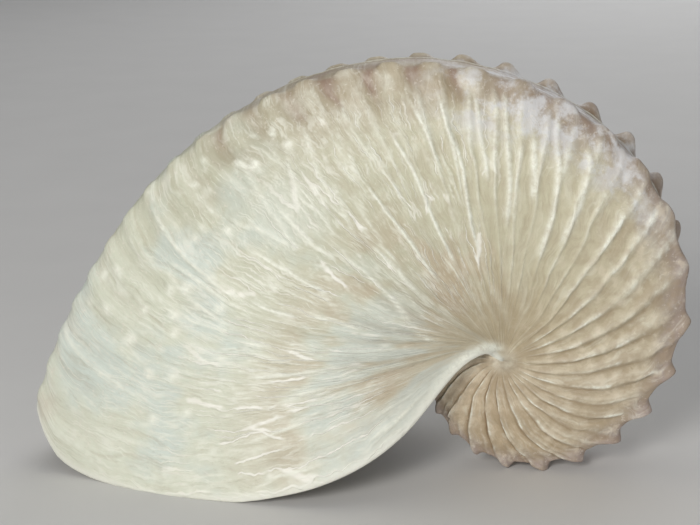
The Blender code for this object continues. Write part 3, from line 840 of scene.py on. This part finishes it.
def clean(mesh):
    bm = bmesh.new()
    bm.from_mesh(mesh)
    bmesh.ops.recalc_face_normals(bm, faces=bm.faces[:])
    vol = bm.calc_volume(signed=True)
    if vol < 0:
        bmesh.ops.reverse_faces(bm, faces=bm.faces[:])
    for f in bm.faces:
        f.smooth = True
    open_edges = sum(1 for e in bm.edges if len(e.link_faces) != 2)
    print("shell mesh", len(bm.verts), "verts", sum(len(f.verts) - 2 for f in bm.faces), "tris, open or odd edges", open_edges,
          "volume cm3 %.2f" % (abs(vol) * 1e6))
    bm.to_mesh(mesh)
    bm.free()


# ------------------------------------------------------------ materials
def srgb(r, g, b):
    def lin(c):
        c /= 255.0
        return c / 12.92 if c <= 0.04045 else ((c + 0.055) / 1.055) ** 2.4
    return (lin(r), lin(g), lin(b), 1.0)


class Nodes:
    def __init__(self, mat):
        mat.use_nodes = True
        self.t = mat.node_tree
        self.bsdf = self.t.nodes["Principled BSDF"]

    def new(self, kind, **props):
        n = self.t.nodes.new(kind)
        for k, v in props.items():
            setattr(n, k, v)
        return n

    def link(self, a, b):
        self.t.links.new(a, b)

    def attr(self, name):
        return self.new("ShaderNodeAttribute", attribute_name=name).outputs["Fac"]

    def math(self, op, a, b=None, clamp=False):
        n = self.new("ShaderNodeMath", operation=op, use_clamp=clamp)
        for k, v in enumerate((a, b)):
            if v is None:
                continue
            if isinstance(v, (int, float)):
                n.inputs[k].default_value = v
            else:
                self.link(v, n.inputs[k])
        return n.outputs[0]

    def mix(self, fac, a, b, blend='MIX'):
        n = self.new("ShaderNodeMix", data_type='RGBA', blend_type=blend)
        for socket, v in ((n.inputs[0], fac), (n.inputs[6], a), (n.inputs[7], b)):
            if isinstance(v, (int, float)):
                socket.default_value = v
            elif isinstance(v, tuple):
                socket.default_value = v
            else:
                self.link(v, socket)
        return n.outputs[2]

    def ramp(self, fac, stops, mode='LINEAR'):
        n = self.new("ShaderNodeValToRGB")
        n.color_ramp.interpolation = mode
        els = n.color_ramp.elements
        while len(els) > 1:
            els.remove(els[-1])
        els[0].position, els[0].color = stops[0][0], stops[0][1]
        for p, c in stops[1:]:
            e = els.new(p)
            e.color = c
        self.link(fac, n.inputs[0])
        return n.outputs[0]

    def noise(self, vec, scale, detail=3.0, rough=0.5, distortion=0.0):
        n = self.new("ShaderNodeTexNoise")
        n.inputs["Scale"].default_value = scale
        n.inputs["Detail"].default_value = detail
        n.inputs["Roughness"].default_value = rough
        n.inputs["Distortion"].default_value = distortion
        self.link(vec, n.inputs["Vector"])
        return n.outputs["Fac"]

    def voronoi(self, vec, scale=1.0):
        n = self.new("ShaderNodeTexVoronoi", voronoi_dimensions='3D', feature='DISTANCE_TO_EDGE')
        n.inputs["Scale"].default_value = scale
        self.link(vec, n.inputs["Vector"])
        return n.outputs["Distance"]

    def combine(self, x, y, z):
        n = self.new("ShaderNodeCombineXYZ")
        for k, v in enumerate((x, y, z)):
            if isinstance(v, (int, float)):
                n.inputs[k].default_value = v
            else:
                self.link(v, n.inputs[k])
        return n.outputs[0]

    def smoothstep(self, x, a, b):
        n = self.new("ShaderNodeMapRange", interpolation_type='SMOOTHSTEP')
        self.link(x, n.inputs["Value"])
        n.inputs["From Min"].default_value = a
        n.inputs["From Max"].default_value = b
        return n.outputs["Result"]


def grey(v):
    return (v, v, v, 1.0)


def shell_material():
    mat = bpy.data.materials.new("shell_calcite")
    n = Nodes(mat)
    line, share = n.attr("line"), n.attr("share")
    white_and_highlight, tan, rust = n.attr("white_and_highlight"), n.attr("tan"), n.attr("rust")
    lip, inside, side = n.attr("lip"), n.attr("inside"), n.attr("side")
    obj = n.new("ShaderNodeTexCoord").outputs["Object"]

    # body colour along the winding; its pale first stops, on the first whorl beside the lip, are painted light that
    # lifts the lip's cast shadow
    t = n.math('DIVIDE', n.math('ADD', line, 4.0), 38.0)
    body = n.ramp(t, [
        (0.00, srgb(232, 216, 190)), (0.09, srgb(218, 201, 174)), (0.17, srgb(197, 178, 149)), (0.30, srgb(201, 187, 161)),
        (0.42, srgb(202, 195, 167)), (0.52, srgb(199, 195, 167)), (0.64, srgb(198, 197, 172)),
        (0.78, srgb(216, 219, 199)), (1.00, srgb(230, 233, 216)),
    ])
    # browner towards the umbilicus
    hub = n.math('MULTIPLY', n.math('SUBTRACT', 1.0, n.smoothstep(share, 0.10, 0.50)),
                 n.smoothstep(line, 6.0, 12.0))
    body = n.mix(n.math('MULTIPLY', hub, 0.75), body, srgb(188, 170, 140))
    # rosy grey keel on the upper right
    flow = n.combine(n.math('MULTIPLY', line, 1.0), n.math('MULTIPLY', share, 9.0), n.math('MULTIPLY', side, 13.0))
    patch = n.noise(obj, 150.0, 4.0, 0.6)
    zone = n.math('MULTIPLY', n.smoothstep(line, -5.0, 0.0),
                  n.math('SUBTRACT', 1.0, n.smoothstep(line, 18.0, 22.5)))
    lower = n.math('MULTIPLY', n.math('SUBTRACT', 1.0, n.smoothstep(line, 8.0, 11.0)), 0.05)
    edge = n.smoothstep(n.math('ADD', n.math('ADD', share, lower), n.math('MULTIPLY', n.math('SUBTRACT', patch, 0.5), 0.25)), 0.77, 0.95)
    keel = n.math('MULTIPLY', zone, edge)
    keel_colour = n.mix(n.noise(obj, 260.0, 3.0), srgb(133, 112, 101), srgb(181, 168, 160))
    keel_colour = n.mix(n.math('MULTIPLY', n.smoothstep(line, 12.5, 16.5), 0.75), keel_colour, srgb(186, 170, 143))
    strength = n.math('SUBTRACT', 0.88, n.math('MULTIPLY', n.smoothstep(line, 13.0, 17.5), 0.22))
    body = n.mix(n.math('MULTIPLY', keel, strength), body, keel_colour)
    worn = n.smoothstep(n.noise(obj, 125.0, 5.0, 0.65), 0.44, 0.62)
    body = n.mix(n.math('MULTIPLY', n.math('MULTIPLY', n.smoothstep(share, 0.955, 0.995), worn), 0.50), body, srgb(208, 195, 178))

    # soft clouds: bluish white, rosy brown
    cloud = n.noise(n.combine(n.math('MULTIPLY', line, 0.40), n.math('MULTIPLY', share, 4.6), n.math('MULTIPLY', side, 5.0)), 1.0, 3.0, 0.55)
    pale_zone = n.math('MULTIPLY', n.smoothstep(line, 19.0, 24.0), n.smoothstep(cloud, 0.46, 0.62))
    body = n.mix(n.math('MULTIPLY', pale_zone, 0.50), body, srgb(210, 225, 224))
    rosy = n.math('MULTIPLY', n.math('MULTIPLY', n.smoothstep(line, 12.0, 17.0), n.smoothstep(share, 0.16, 0.26)),
                  n.math('MULTIPLY', n.math('SUBTRACT', 1.0, n.smoothstep(share, 0.42, 0.66)),
                         n.math('SUBTRACT', 1.0, n.smoothstep(cloud, 0.40, 0.56))))
    body = n.mix(n.math('MULTIPLY', rosy, 0.55), body, srgb(192, 170, 143))

    # fine streaks along the growth lines
    warp = n.noise(n.combine(n.math('MULTIPLY', line, 0.8), n.math('MULTIPLY', share, 6.0), n.math('MULTIPLY', side, 5.0)), 1.0, 2.0)
    lw = n.math('ADD', line, n.math('MULTIPLY', n.math('SUBTRACT', warp, 0.5), 1.1))
    fine = n.noise(n.combine(n.math('MULTIPLY', lw, 3.2), n.math('MULTIPLY', share, 5.0), n.math('MULTIPLY', side, 7.0)), 1.0, 4.0, 0.6)
    finer = n.noise(n.combine(n.math('MULTIPLY', lw, 11.0), n.math('MULTIPLY', share, 9.0), n.math('MULTIPLY', side, 7.0)), 1.0, 3.0, 0.6)
    streak = n.math('ADD', n.math('MULTIPLY', fine, 0.6), n.math('MULTIPLY', finer, 0.4))
    light = n.smoothstep(streak, 0.50, 0.64)
    dark = n.math('SUBTRACT', 1.0, n.smoothstep(streak, 0.36, 0.50))
    calm = n.math('SUBTRACT', 0.36, n.math('MULTIPLY', n.smoothstep(line, 10.0, 14.0), 0.08))
    body = n.mix(n.math('MULTIPLY', light, calm), body, srgb(236, 234, 217))
    dim = n.math('SUBTRACT', 0.34, n.math('MULTIPLY', n.smoothstep(line, 13.0, 22.0), 0.10))
    body = n.mix(n.math('MULTIPLY', dark, dim), body, srgb(168, 153, 122))

    # lilac grey knob tips on the first whorl
    young = n.math('SUBTRACT', 1.0, n.smoothstep(line, 7.5, 11.0))
    body = n.mix(n.math('MULTIPLY', n.math('MULTIPLY', n.smoothstep(share, 0.84, 0.98), young), 0.50), body, srgb(172, 154, 150))
    # fine grain of the younger wall
    grain = n.noise(n.combine(n.math('MULTIPLY', line, 15.0), n.math('MULTIPLY', share, 62.0), n.math('MULTIPLY', side, 9.0)), 1.0, 4.0, 0.68)
    grown = n.math('MULTIPLY', n.smoothstep(line, 13.0, 20.0), n.math('ADD', 0.25, n.smoothstep(n.noise(obj, 210.0, 2.0), 0.42, 0.60)))
    body = n.mix(n.math('MULTIPLY', n.math('MULTIPLY', n.smoothstep(grain, 0.53, 0.68), grown), 0.27), body, srgb(240, 243, 233))
    body = n.mix(n.math('MULTIPLY', n.math('MULTIPLY', n.math('SUBTRACT', 1.0, n.smoothstep(grain, 0.34, 0.47)), grown), 0.22), body, srgb(180, 180, 158))

    # a net of thin threads stretched along the growth lines
    wob = n.noise(n.combine(n.math('MULTIPLY', line, 0.9), n.math('MULTIPLY', share, 14.0), n.math('MULTIPLY', side, 3.0)), 1.0, 3.0, 0.55)
    wx = n.math('ADD', line, n.math('MULTIPLY', n.math('SUBTRACT', wob, 0.5), 0.55))
    net = n.voronoi(n.combine(n.math('MULTIPLY', wx, 1.55), n.math('MULTIPLY', share, 1.9), n.math('MULTIPLY', side, 7.0)))
    net2 = n.voronoi(n.combine(n.math('MULTIPLY', wx, 3.3), n.math('ADD', n.math('MULTIPLY', share, 3.4), 3.1), n.math('MULTIPLY', side, 7.0)))
    part = n.noise(n.combine(n.math('MULTIPLY', line, 0.55), n.math('MULTIPLY', share, 9.0), n.math('ADD', n.math('MULTIPLY', side, 7.0), 1.7)), 1.0, 3.0, 0.6)
    part2 = n.noise(n.combine(n.math('MULTIPLY', line, 0.75), n.math('MULTIPLY', share, 10.0), n.math('ADD', n.math('MULTIPLY', side, 7.0), 5.7)), 1.0, 3.0, 0.6)
    where = n.math('MULTIPLY', n.math('MULTIPLY', n.smoothstep(line, 13.5, 16.5), n.smoothstep(share, 0.14, 0.30)),
                   n.math('SUBTRACT', 1.0, n.math('MULTIPLY', n.smoothstep(share, 0.60, 0.86), n.smoothstep(line, 17.0, 23.0))))
    where = n.math('MULTIPLY', where, n.math('SUBTRACT', 1.0, n.smoothstep(share, 0.86, 0.93)))
    thin = n.math('MULTIPLY', n.math('SUBTRACT', 1.0, n.smoothstep(net, 0.008, 0.034)), n.smoothstep(part, 0.46, 0.56))
    thin2 = n.math('MULTIPLY', n.math('SUBTRACT', 1.0, n.smoothstep(net2, 0.015, 0.065)), n.smoothstep(part2, 0.51, 0.61))
    thin = n.math('MULTIPLY', n.math('ADD', thin, n.math('MULTIPLY', thin2, 0.55), clamp=True), where)
    glow = n.math('MULTIPLY', n.math('MULTIPLY', n.math('SUBTRACT', 1.0, n.smoothstep(net, 0.0, 0.20)), n.smoothstep(part, 0.42, 0.60)), where)
    body = n.mix(n.math('MULTIPLY', glow, 0.16), body, srgb(232, 229, 210))
    body = n.mix(n.math('MULTIPLY', thin, 0.95), body, srgb(255, 253, 243))
    # a crinkled skin between the threads
    net3 = n.voronoi(n.combine(n.math('MULTIPLY', wx, 6.5), n.math('ADD', n.math('MULTIPLY', share, 9.0), 1.3), n.math('MULTIPLY', side, 7.0)))
    part3 = n.noise(n.combine(n.math('MULTIPLY', line, 1.5), n.math('MULTIPLY', share, 16.0), n.math('MULTIPLY', side, 7.0)), 1.0, 3.0, 0.6)
    later = n.math('MULTIPLY', n.smoothstep(line, 14.0, 19.0), n.smoothstep(share, 0.10, 0.25))
    crinkle = n.math('MULTIPLY', n.math('MULTIPLY', n.math('SUBTRACT', 1.0, n.smoothstep(net3, 0.01, 0.16)), n.smoothstep(part3, 0.42, 0.60)), later)
    furrow = n.math('MULTIPLY', n.math('MULTIPLY', n.smoothstep(net3, 0.24, 0.46), n.math('SUBTRACT', 1.0, n.smoothstep(part3, 0.42, 0.58))), later)
    body = n.mix(n.math('MULTIPLY', crinkle, 0.44), body, srgb(247, 248, 235))
    body = n.mix(n.math('MULTIPLY', furrow, 0.34), body, srgb(180, 178, 156))

    # grooves (their brown partly the shell's tint, partly painted shade), brown hollows and threads
    # painted light: the groove brown is weakened on the first whorl under the lip, against the lip's shadow
    painted_light_under_lip = n.math('ADD', 0.45, n.math('MULTIPLY', n.smoothstep(line, -2.0, 1.5), 0.55))
    body = n.mix(n.math('MULTIPLY', n.math('MULTIPLY', tan, 0.85, clamp=True), painted_light_under_lip), body, srgb(136, 110, 78))
    rusty = n.mix(n.noise(obj, 340.0, 3.0), srgb(146, 116, 98), srgb(158, 138, 126))
    body = n.mix(n.math('MULTIPLY', rust, 0.80, clamp=True), body, rusty)
    crumb = n.smoothstep(n.noise(obj, 1100.0, 3.0, 0.65), 0.36, 0.58)
    # the white mask also carries the painted highlight along the far keel edge
    pale = n.math('MULTIPLY', white_and_highlight, n.math('ADD', 0.62, n.math('MULTIPLY', crumb, 0.42)), clamp=True)
    body = n.mix(pale, body, srgb(249, 250, 236))
    # painted highlight: bluish-white sheen patches on the upper right
    painted_highlight_patch = n.math('MULTIPLY', n.math('MULTIPLY', n.smoothstep(line, 9.5, 11.5), n.math('SUBTRACT', 1.0, n.smoothstep(line, 14.5, 17.0))),
                   n.math('MULTIPLY', n.smoothstep(share, 0.72, 0.86), n.smoothstep(n.noise(obj, 210.0, 5.0, 0.65), 0.45, 0.62)))
    painted_highlight_patch = n.math('MULTIPLY', painted_highlight_patch, n.math('SUBTRACT', 1.0, n.math('MULTIPLY', n.smoothstep(share, 0.97, 1.0), 0.45)))
    body = n.mix(n.math('MULTIPLY', painted_highlight_patch, 0.80), body, srgb(224, 225, 227))
    # speckle of lime grains towards the keel of the early whorl
    grain = n.noise(obj, 1400.0, 2.0, 0.6)
    body = n.mix(n.math('MULTIPLY', n.math('MULTIPLY', n.smoothstep(grain, 0.60, 0.70), n.smoothstep(share, 0.55, 0.85)), 0.35),
                 body, srgb(238, 232, 220))
    mottle = n.noise(obj, 330.0, 4.0, 0.6)
    older = n.math('ADD', 0.06, n.math('ADD', n.math('MULTIPLY', n.math('SUBTRACT', 1.0, n.smoothstep(line, 9.0, 13.0)), 0.28),
                                       n.math('MULTIPLY', n.math('SUBTRACT', 1.0, n.smoothstep(line, 17.0, 22.0)), 0.12)))
    body = n.mix(n.math('MULTIPLY', n.math('SUBTRACT', 1.0, n.smoothstep(mottle, 0.38, 0.56)), older), body, srgb(166, 146, 118))
    body = n.mix(n.math('MULTIPLY', n.smoothstep(mottle, 0.54, 0.68), older), body, srgb(226, 214, 192))
    body = n.mix(lip, body, srgb(240, 240, 228))
    lining = n.mix(n.smoothstep(streak, 0.40, 0.62), srgb(206, 196, 172), srgb(231, 226, 209))
    lining = n.mix(n.math('MULTIPLY', n.smoothstep(cloud, 0.45, 0.62), 0.5), lining, srgb(222, 228, 222))
    lining = n.mix(n.math('MULTIPLY', n.math('SUBTRACT', 1.0, n.smoothstep(line, 14.0, 24.0)), 0.45), lining, srgb(196, 176, 146))
    body = n.mix(inside, body, lining)
    n.link(body, n.bsdf.inputs["Base Color"])

    rough = n.math('ADD', 0.34, n.math('MULTIPLY', n.noise(obj, 220.0, 3.0), 0.22))
    rough = n.math('SUBTRACT', rough, n.math('MULTIPLY', lip, 0.1))
    n.link(rough, n.bsdf.inputs["Roughness"])
    n.bsdf.inputs["IOR"].default_value = 1.5
    n.bsdf.inputs["Subsurface Weight"].default_value = 0.0

    h = n.math('ADD', n.math('MULTIPLY', fine, 0.45), n.math('MULTIPLY', finer, 0.25))
    h = n.math('ADD', h, n.math('MULTIPLY', thin, 0.30))
    h = n.math('ADD', h, n.math('MULTIPLY', n.math('SUBTRACT', crinkle, furrow), 0.12))
    h = n.math('ADD', h, n.math('MULTIPLY', n.noise(obj, 900.0, 3.0), 0.24))
    bump = n.new("ShaderNodeBump")
    bump.inputs["Strength"].default_value = 0.8
    bump.inputs["Distance"].default_value = 0.0004
    n.link(h, bump.inputs["Height"])
    n.link(bump.outputs["Normal"], n.bsdf.inputs["Normal"])
    return mat


def floor_material():
    mat = bpy.data.materials.new("floor_paper")
    n = Nodes(mat)
    obj = n.new("ShaderNodeTexCoord").outputs["Object"]
    v = n.noise(obj, 40.0, 4.0)
    n.link(n.mix(v, srgb(214, 213, 211), srgb(220, 219, 217)), n.bsdf.inputs["Base Color"])
    n.bsdf.inputs["Roughness"].default_value = 0.9
    return mat


# ------------------------------------------------------------ the object
mesh = build_shell()
clean(mesh)
shell = bpy.data.objects.new("shell_wall", mesh)
bpy.context.scene.collection.objects.link(shell)
shell.data.materials.append(shell_material())
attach(shell, "root")
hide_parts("shell")


# ------------------------------------------------------------ floor, light, camera
def make_floor():
    bm = bmesh.new()
    prof = [(-1.6, 0.0), (1.0, 0.0)]
    for k in range(1, 13):
        a = math.radians(90 * k / 12)
        prof.append((1.0 + 0.5 * math.sin(a), 0.5 - 0.5 * math.cos(a)))
    prof.append((1.5, 2.4))
    rows = []
    for y, z in prof:
        rows.append([bm.verts.new((x, y, z)) for x in (-2.4, 2.4)])
    for a, b in zip(rows, rows[1:]):
        bm.faces.new((a[0], a[1], b[1], b[0]))
    for f in bm.faces:
        f.smooth = True
    me = bpy.data.meshes.new("floor")
    bm.to_mesh(me)
    bm.free()
    ob = bpy.data.objects.new("floor", me)
    bpy.context.scene.collection.objects.link(ob)
    ob.data.materials.append(floor_material())


def area(name, at, target, size, power, colour=(1, 1, 1), size_y=None):
    light = bpy.data.lights.new(name, 'AREA')
    light.energy = power
    light.color = colour
    light.shape = 'RECTANGLE'
    light.size = size
    light.size_y = size_y or size
    ob = bpy.data.objects.new(name, light)
    bpy.context.scene.collection.objects.link(ob)
    ob.location = at
    ob.rotation_euler = (Vector(target) - Vector(at)).to_track_quat('-Z', 'Y').to_euler()
    return ob


make_floor()
centre = (0.0, 0.0, 0.036)
area("key", (-0.20, -0.57, 0.33), centre, 0.22, 2.36, (1.0, 0.985, 0.955))
area("low", (0.10, -0.60, 0.05), centre, 0.3, 0.42, (1.0, 0.985, 0.955))
area("fill", (0.42, -0.60, 0.10), centre, 0.5, 0.75, (0.97, 0.98, 1.0))
area("back", (0.20, 0.75, 0.40), centre, 0.6, 1.6, (0.97, 0.98, 1.0))
area("top", (0.05, 0.20, 0.75), centre, 0.6, 0.80, (1.0, 0.99, 0.97))
w = bpy.data.worlds.new("room")
bpy.context.scene.world = w
w.use_nodes = True
bg = w.node_tree.nodes["Background"]
bg.inputs[0].default_value = (0.94, 0.96, 1.0, 1.0)
bg.inputs[1].default_value = 0.19
bpy.context.scene.view_settings.view_transform = 'Standard'


def make_camera():
    """Four degrees to the right of square on, sixteen above, 0.30 m from the axis."""
    az, el, dist = math.radians(4.0), math.radians(16.0), 302.5
    focal, width, height = 85.0, 36.0, 700.0
    f = 700 * focal / width
    axis_px = (502.0, 347.0)
    back = Vector((math.sin(az) * math.cos(el), -math.cos(az) * math.cos(el), math.sin(el)))
    right = Vector((math.cos(az), math.sin(az), 0.0))
    up = back.cross(right)
    dx = (axis_px[0] - 350.0) / f * dist
    dy = -(axis_px[1] - 262.5) / f * dist
    at = -(right * dx + up * dy - back * dist)
    rot = Matrix.Rotation(-TURN, 4, 'Y')
    loc = rot @ at + Vector((SHIFT, 0.0, -GROUND))
    m = Matrix((right, up, back)).transposed().to_4x4()
    m = rot @ m
    m.translation = loc * MM
    cam = bpy.data.cameras.new("camera")
    cam.lens = focal
    cam.sensor_width = width
    cam.sensor_fit = 'HORIZONTAL'
    cam.clip_start = 0.01
    cam.clip_end = 20.0
    ob = bpy.data.objects.new("camera", cam)
    bpy.context.scene.collection.objects.link(ob)
    ob.matrix_world = m
    bpy.context.scene.camera = ob


make_camera()

bpy.context.view_layer.update()
